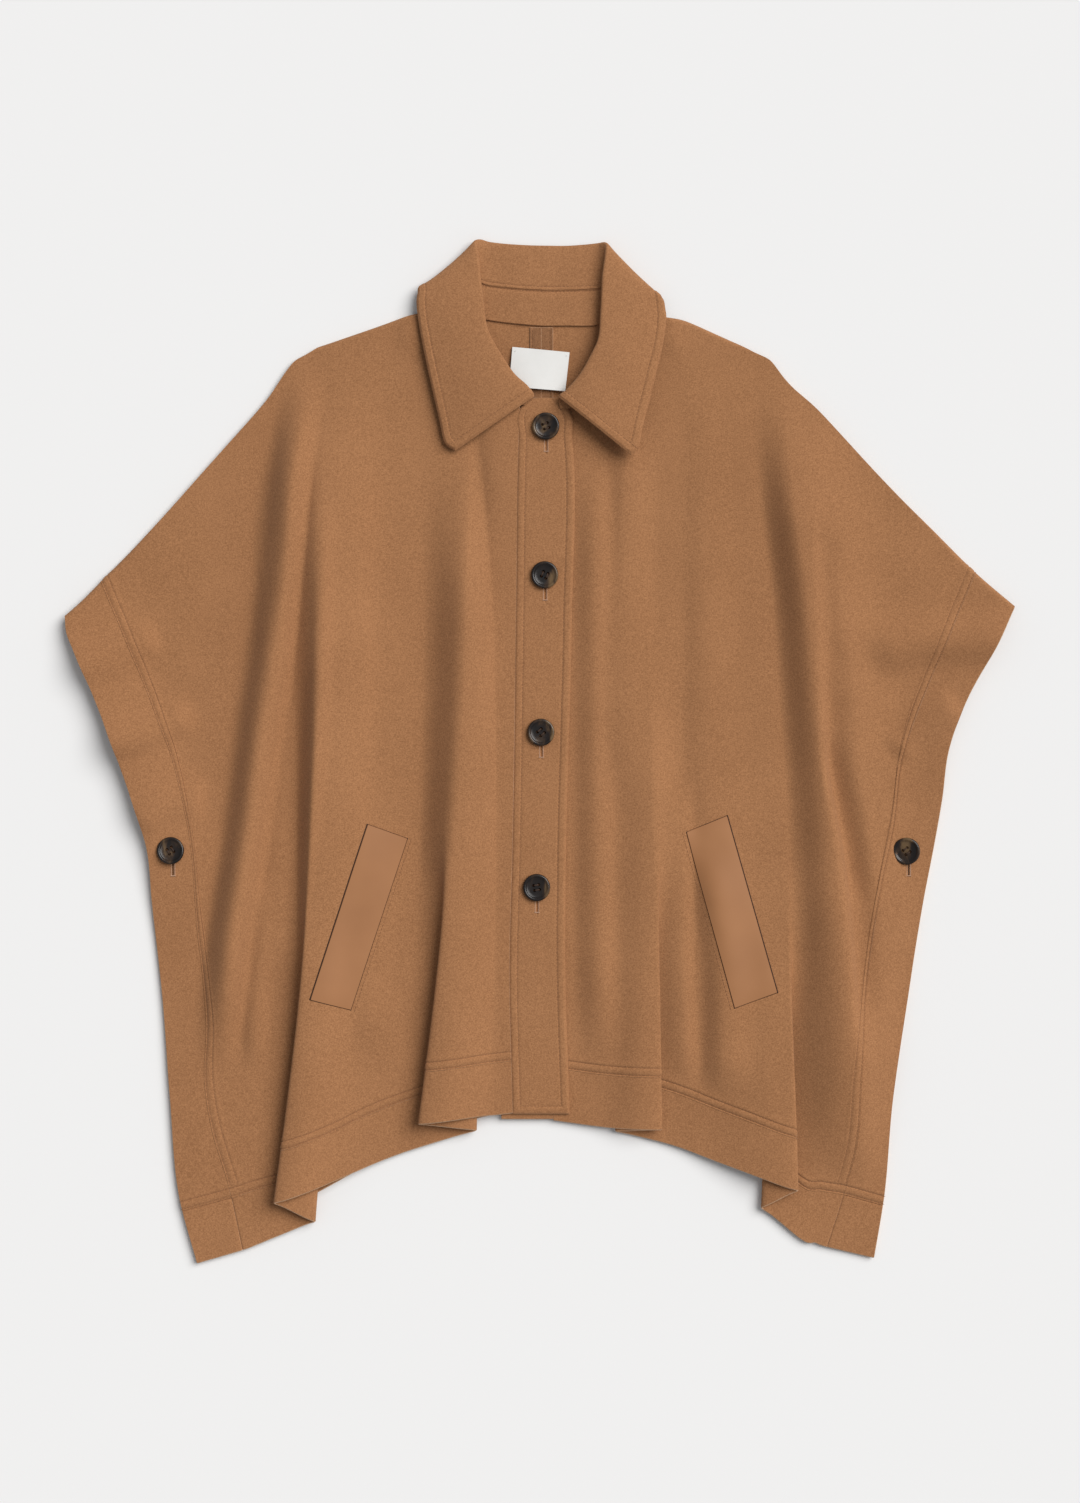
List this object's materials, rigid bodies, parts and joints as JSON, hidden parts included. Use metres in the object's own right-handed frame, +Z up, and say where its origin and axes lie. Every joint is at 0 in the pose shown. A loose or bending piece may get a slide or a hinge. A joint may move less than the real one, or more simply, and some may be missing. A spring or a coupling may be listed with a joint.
{
  "type": "wool cape",
  "caption": "Collared, button-front cape of double-face wool with pocket welts and banded hem and arm edges, laid flat in soft pleats.",
  "frame": {"origin": "on the surface that the cape lies on, under the middle of its outline", "axes": "+X towards the wearer's left, +Y from the hem towards the collar, +Z up from the surface, out of the cape's front"},
  "size_m": [0.8823, 0.9504, 0.0208],
  "materials": {
    "wool": "felted camel double-face wool",
    "welt_leather": "smooth camel leather with a slight sheen",
    "horn": "polished dark horn",
    "label_cloth": "blank woven white"
  },
  "bodies": {
    "root": {"back_arm_band_left": "wool", "back_arm_band_right": "wool", "back_hem_left": "wool", "back_hem_right": "wool", "back_left": "wool", "back_right": "wool", "back_seam_allowance_left": "wool", "back_seam_allowance_right": "wool", "button_1": "horn", "button_2": "horn", "button_3": "horn", "button_4": "horn", "button_side_left": "horn", "button_side_right": "horn", "collar": "wool", "collar_stand": "wool", "front_arm_band_left": "wool", "front_arm_band_right": "wool", "front_hem_left": "wool", "front_hem_right": "wool", "front_left": "wool", "front_right": "wool", "neck_label": "label_cloth", "placket": "wool", "pocket_welt_left": "welt_leather", "pocket_welt_right": "welt_leather", "underlap": "wool"}
  },
  "joints": []
}
